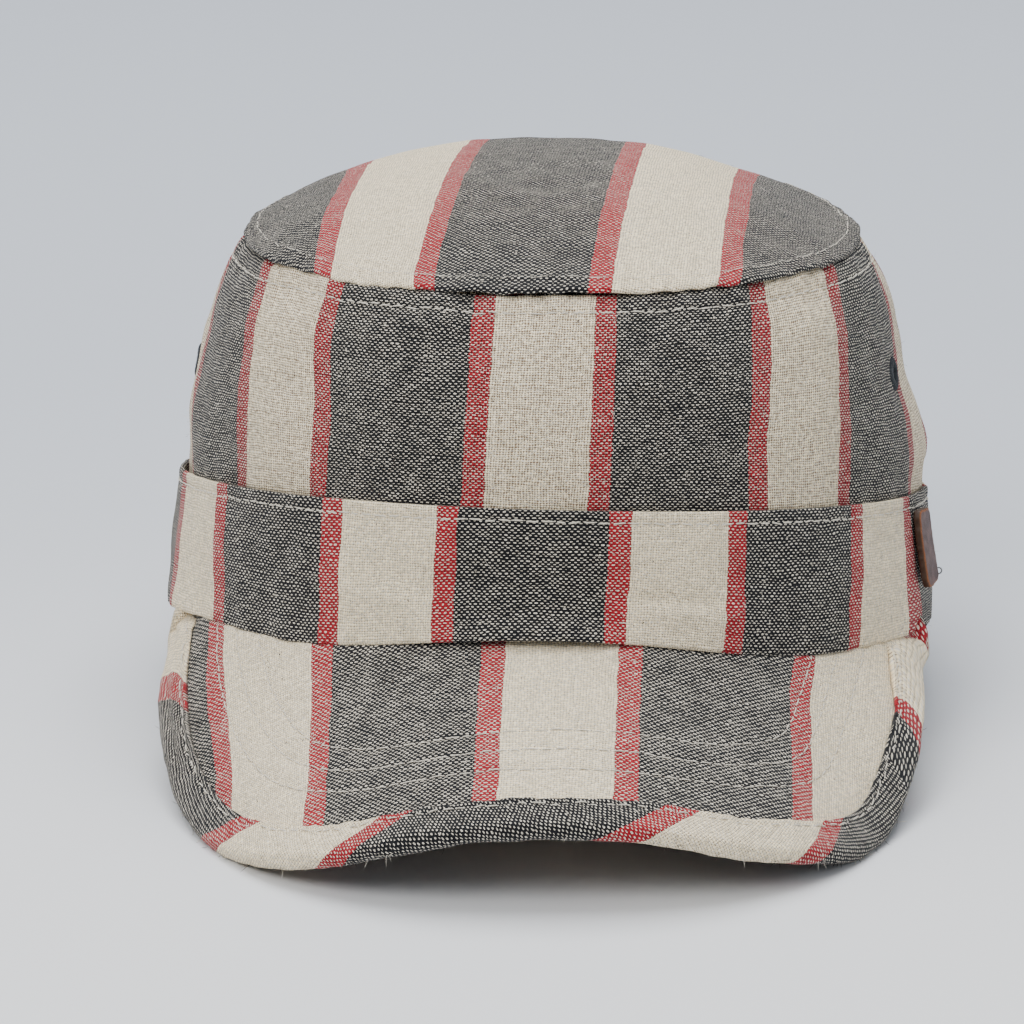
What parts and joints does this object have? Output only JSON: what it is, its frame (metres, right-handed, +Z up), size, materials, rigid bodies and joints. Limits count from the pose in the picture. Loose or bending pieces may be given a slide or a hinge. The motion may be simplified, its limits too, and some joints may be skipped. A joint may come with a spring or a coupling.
{
  "type": "cadet cap",
  "caption": "Flat-topped cloth cadet cap with a domed oval top, crown wall, band, curved peak with a bound edge, sewn eyelets and a leather tab.",
  "frame": {"origin": "on the table, under the middle of the cap's bounding box, as the cap stands empty", "axes": "+Z up, +X towards the wearer's left (the image's right), the peak points along -Y"},
  "size_m": [0.1808, 0.2568, 0.1234],
  "materials": {
    "striped_cotton": "plain woven yarn-dyed cotton, wide cream and black-and-cream stripes between narrow red ones",
    "bias_binding": "the same striped cotton cut on the bias, folded and topstitched",
    "brown_leather": "thick brown leather with raw tan edges",
    "navy_thread": "dark navy embroidery thread"
  },
  "bodies": {
    "root": {"crown_top": "striped_cotton", "crown_wall": "striped_cotton", "band": "striped_cotton", "peak": "striped_cotton", "peak_binding": "bias_binding", "leather_tab": "brown_leather", "eyelet_left": "navy_thread", "eyelet_right": "navy_thread"}
  },
  "joints": []
}
